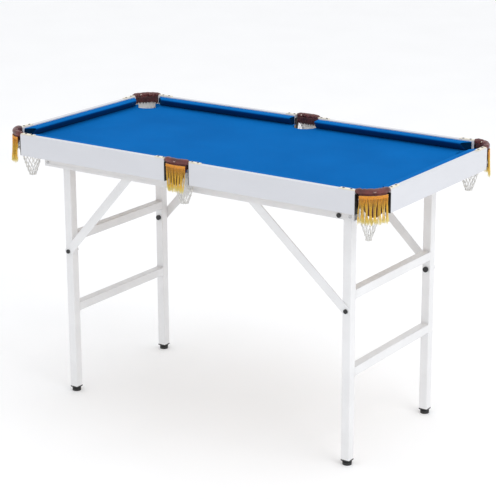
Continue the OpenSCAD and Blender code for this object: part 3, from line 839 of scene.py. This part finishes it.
def cushion(name, along, inward, origin, back, nose, seed):
    """A cloth-covered cushion, with painted shade in its tint attribute under the nose and on the cut
    ends. back and nose are (start, end) along it, at its back and nose.
    """
    outline = cushion_outline()
    middle_uv = (sum(u for u, v in outline) / len(outline), sum(v for u, v in outline) / len(outline))
    steps = 90
    rings, tints = [], []
    # each ring: place along the cushion, how far it shrinks, how far in from the end it lies
    end_rings = ((0.5, 0.0), (0.12, 0.0), (0.03, 0.7 * MM))
    places = [(0, shrink, off) for shrink, off in end_rings]
    places += [(i / steps, 0.0, 1.8 * MM) for i in range(steps + 1)]
    places += [(1, shrink, off) for shrink, off in reversed(end_rings)]
    for t, shrink, off in places:
        ring = []
        for u, v in outline:
            k = min(1, u / CUSHION_W)
            low, high = lerp(back[0], nose[0], k), lerp(back[1], nose[1], k)
            x = lerp(low + off, high - off, t)
            near = min(x - low, high - x)
            uu, vv = lerp(u, middle_uv[0], shrink), lerp(v, middle_uv[1], shrink)
            ripple = 0.16 * MM * noise.noise(Vector((x * 45, u * 120, v * 120 + seed)))
            ripple += 0.3 * MM * math.sin(v * 900 + seed) * math.exp(-near / (6 * MM))
            if 0.5 * MM < u and 0.5 * MM < v:
                uu -= abs(ripple)
            ring.append(origin + along * x + inward * uu + Vector((0, 0, vv)))
            # painted shade: the tint darkens the cloth under the nose, fading out upwards, and on the
            # cut ends
            shade = lerp(UNDER_SHADE, 1, smooth(SHADE_LOW, SHADE_HIGH, v))
            shade = 1 if u < SHADE_BACK else shade
            shade = END_SHADE if shrink > 0.1 else shade
            tints.append((shade, shade, shade))
        rings.append(ring)
    faces = loft(rings)
    if along.cross(inward).z < 0:
        faces = [tuple(reversed(f)) for f in faces]
    piece = new_piece(name, [v for r in rings for v in r], faces, "cushion", tints=tints)
    return piece


def make_cushions():
    for sy in SIDES:
        for sx in SIDES:
            name = place_name(sx, sy)
            piece = cushion(f"cloth_cushion_{name}", Vector((sx, 0, 0)), Vector((0, -sy, 0)),
                            Vector((0, sy * inner_w, cloth_z)),
                            (middle_cut, half_l - BACK_CUT),
                            (middle_cut + NOSE_SLANT, half_l - NOSE_CUT), sx + 2 * sy)
            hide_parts(f"cushion_{name}")
    for sx in SIDES:
        name = "right" if sx > 0 else "left"
        back, nose = half_w - BACK_CUT, half_w - NOSE_CUT
        piece = cushion(f"cloth_cushion_{name}", Vector((0, 1, 0)), Vector((-sx, 0, 0)),
                        Vector((sx * inner_l, 0, cloth_z)), (-back, back), (-nose, nose), sx)
        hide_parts(f"cushion_{name}")


# ------------------------------------------------------------------ screws, tubes and welds

TUBE_ROUND = 2.2 * MM                   # outer corner radius of the square tubes
HEAD_R = 3.3 * MM
HEAD_H = 1.25 * MM
BEAD_R_MM = 1.5


def cross_head(soup, centre, out, radius, height, spin):
    """A domed screw head with a cross recess, facing out."""
    out = out.normalized()
    side = out.orthogonal().normalized()
    up = out.cross(side)
    rings = []
    spokes, levels = 32, 9
    for i in range(levels + 1):
        k = 1 - i / levels
        ring = []
        for j in range(spokes):
            a = math.tau * j / spokes
            x, y = k * math.cos(a), k * math.sin(a)
            cx = x * math.cos(spin) + y * math.sin(spin)
            cy = -x * math.sin(spin) + y * math.cos(spin)
            arm = min(abs(cx), abs(cy))
            reach = max(abs(cx), abs(cy))
            dig = (1 - smooth(0.10, 0.2, arm)) * (1 - smooth(0.5, 0.66, reach))
            h = height * (math.sqrt(max(0, 1 - 0.75 * k * k)) - 0.5) * 2 - 0.55 * height * dig
            h = 0 if i == 0 else max(h, 0.12 * height)
            ring.append(centre + side * x * radius + up * y * radius + out * h)
        rings.append(ring)
    rings = [[p - out * 0.25 * MM for p in rings[0]]] + rings[:-1]
    soup.add_loft(rings)


def make_bracket_screws():
    """Heads where the CAD screws are: at fixed distances from the panel ends, along each arm."""
    soup = Soup()
    rng = random.Random(5)
    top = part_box("pocket_brackets")[1].z
    up = Vector((0, 0, 1))
    corner_spots = (14 * MM, 36 * MM)
    middle_spots = (6 * MM, 24 * MM)
    for sx in SIDES:
        for sy in SIDES:
            long_y, short_x = sy * (half_w - rim_mid), sx * (half_l - rim_mid)
            places = [(sx * (corner_x - d), long_y) for d in corner_spots]
            places += [(short_x, sy * (corner_y - d)) for d in corner_spots]
            places += [(sx * (middle_cut + d), long_y) for d in middle_spots]
            for x, y in places:
                cross_head(soup, Vector((x, y, top)), up, HEAD_R, HEAD_H, rng.uniform(0, 1.5))
    piece = soup.piece("bracket_screw_heads", "dark_screw")
    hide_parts("bracket_screws")


def corner_arc(x, z, radius, first):
    """A quarter circle of outline points about (x, z), from the angle first."""
    steps = 4
    angles = [first + math.pi / 2 * i / steps for i in range(steps + 1)]
    return [(x + radius * math.cos(a), z + radius * math.sin(a)) for a in angles]


def finish_tube(soup, name, body):
    piece = soup.piece(f"tube_{name}", "frame_paint", body)
    piece.modifiers.new("normals", "WEIGHTED_NORMAL").keep_sharp = False
    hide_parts(name)


def make_leg(name, body):
    """A square tube with rounded corners and a round top end, as a slab drawn from the side."""
    low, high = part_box(name)
    half = (high.x - low.x) / 2
    middle_x, top_z = low.x + half, high.z - half
    turns = 24
    outline = [(-1, 0, low.z)]
    outline += [(math.cos(math.pi - math.pi * i / turns), math.sin(math.pi * i / turns), top_z)
                for i in range(turns + 1)]
    outline.append((1, 0, low.z))
    steps = 5
    inset = []
    for i in range(steps + 1):
        a = math.pi / 2 * i / steps
        inset.append((TUBE_ROUND * (1 - math.cos(a)), TUBE_ROUND * (1 - math.sin(a))))
    sections = [(low.y + off, shrink) for off, shrink in inset]
    sections += [(high.y - off, shrink) for off, shrink in reversed(inset)]
    rings = [[Vector((middle_x + (half - shrink) * nx, y, z + (half - shrink) * nz))
              for nx, nz, z in outline] for y, shrink in sections]
    soup = Soup()
    soup.add_loft(rings)
    finish_tube(soup, name, body)


def make_crossbar(name, body):
    low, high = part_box(name)
    r = TUBE_ROUND
    outline = corner_arc(high.x - r, high.z - r, r, 0)
    outline += corner_arc(low.x + r, high.z - r, r, math.pi / 2)
    outline += corner_arc(low.x + r, low.z + r, r, math.pi)
    outline += corner_arc(high.x - r, low.z + r, r, 1.5 * math.pi)
    soup = Soup()
    soup.add_loft([[Vector((x, y, z)) for x, z in outline] for y in (high.y, low.y)])
    finish_tube(soup, name, body)


def make_tubes():
    for side in ("left", "right"):
        body = f"leg_frame_{side}"
        for end in ("front", "back"):
            make_leg(f"leg_{side}_{end}", body)
        for level in ("upper", "lower"):
            make_crossbar(f"crossbar_{side}_{level}", body)


def weld_beads():
    """A low bead round each end of every crossbar, where it meets the leg."""
    steps = 24
    for side in ("left", "right"):
        soup = Soup()
        rng = random.Random(side)
        for level in ("upper", "lower"):
            low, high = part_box(f"crossbar_{side}_{level}")
            for sy in SIDES:
                y = (high.y if sy > 0 else low.y) - sy * 0.9 * MM
                for z, out in ((low.z, -1), (high.z, 1)):
                    path, radii = [], []
                    for i in range(steps + 1):
                        x = lerp(low.x + BEAD_R_MM * MM, high.x - BEAD_R_MM * MM, i / steps)
                        path.append(Vector((x, y, z + out * 0.5 * MM)))
                        ripple = 0.35 * math.sin(i * 2.1) + rng.uniform(-0.1, 0.1)
                        radii.append((BEAD_R_MM + ripple) * MM)
                    soup.tube(path, radii, sides=8)
        soup.piece(f"weld_beads_{side}", "frame_paint", f"leg_frame_{side}")


# ------------------------------------------------------------------ CAD nodes

BRACE_BEVEL = 0.5                       # share of the bevel that the thin braces get
BEVELS = {
    "panel": 0.9, "frame_paint": 1.2, "bracket": 0.7, "black_bolt": 0.9, "black_plastic": 0.9,
    "board": 0.5, "screw": 0.4, "strip": 0.3,
}


def dress_cad_nodes():
    """Every CAD node gets its slot's material, and the nodes of the slots listed in BEVELS get their
    edges broken by a fine bevel.
    """
    slots = {s["node"]: s["material_slot"] for s in frame["record"]["subparts"]}
    for name, node in frame["nodes"].items():
        slot = slots[name]
        node.data.materials.clear()
        node.data.materials.append(MATERIALS[slot])
        if slot in BEVELS:
            weld = node.modifiers.new("weld", "WELD")
            weld.merge_threshold = 1e-6
            bevel = node.modifiers.new("edges", "BEVEL")
            share = BRACE_BEVEL if name.startswith("brace_") else 1
            bevel.width = BEVELS[slot] * MM * share
            bevel.segments = 2
            bevel.limit_method = "ANGLE"
            bevel.angle_limit = math.radians(50)
            bevel.use_clamp_overlap = True
            bevel.harden_normals = True


# ------------------------------------------------------------------ floor, light and camera

def make_floor():
    mat, tree, shader = new_material("floor", (0.93, 0.93, 0.93), 0.8, Emission_Strength=0.10)
    shader.inputs["Emission Color"].default_value = (1, 1, 1, 1)
    tinted(tree, shader, (0.92, 0.92, 0.92), (0.94, 0.94, 0.94), 3)
    half = 30
    mesh = bpy.data.meshes.new("floor")
    mesh.from_pydata([(-half, -half, 0), (half, -half, 0), (half, half, 0), (-half, half, 0)],
                     [], [(0, 1, 2, 3)])
    mesh.materials.append(mat)
    floor = bpy.data.objects.new("floor", mesh)
    bpy.context.scene.collection.objects.link(floor)


def area_light(name, place, target, size, power):
    lamp = bpy.data.lights.new(name, "AREA")
    lamp.size = size
    lamp.energy = power
    light = bpy.data.objects.new(name, lamp)
    light.location = place
    light.rotation_euler = (Vector(target) - Vector(place)).to_track_quat("-Z", "Y").to_euler()
    bpy.context.scene.collection.objects.link(light)


def make_light():
    scene = bpy.context.scene
    scene.view_settings.view_transform = "Standard"
    world = bpy.data.worlds.new("studio")
    world.use_nodes = True
    background = world.node_tree.nodes["Background"]
    background.inputs["Color"].default_value = (0.97, 0.98, 1.0, 1)
    background.inputs["Strength"].default_value = 0.92
    scene.world = world
    middle = (0, 0, 0.6)
    area_light("key", (3.2, -0.6, 3.0), middle, 2.4, 34)
    area_light("fill", (-1.5, -3.5, 2.4), middle, 2.6, 4)
    area_light("top", (0, 0.6, 4.2), middle, 3.0, 16)


def make_camera():
    """Placed by fitting the table's known edges to the view that the render is compared with.

    That view keeps every upright parallel, which would need a far larger shift. The camera keeps
    a small one, so the uprights lean together a little.
    """
    place = Vector((2.52917, -3.63952, 1.82198))
    yaw, pitch, roll = math.radians(34.532), math.radians(-15.5021), math.radians(-0.1909)
    ahead = Vector((-math.sin(yaw) * math.cos(pitch), math.cos(yaw) * math.cos(pitch), math.sin(pitch)))
    right = Vector((math.cos(yaw), math.sin(yaw), 0))
    up = right.cross(ahead)
    right_rolled = math.cos(roll) * right + math.sin(roll) * up
    up_rolled = -math.sin(roll) * right + math.cos(roll) * up
    data = bpy.data.cameras.new("camera")
    data.lens = 120.338
    data.sensor_width = 36
    data.shift_x, data.shift_y = -0.0122, -0.10
    data.clip_start, data.clip_end = 0.1, 100
    camera = bpy.data.objects.new("camera", data)
    turn = Matrix((right_rolled, up_rolled, -ahead)).transposed()
    camera.matrix_world = Matrix.Translation(place) @ turn.to_4x4()
    bpy.context.scene.collection.objects.link(camera)
    bpy.context.scene.camera = camera


dress_cad_nodes()
make_pockets()
make_cushions()
make_bracket_screws()
make_tubes()
weld_beads()
make_floor()
make_light()
make_camera()

bpy.context.view_layer.update()
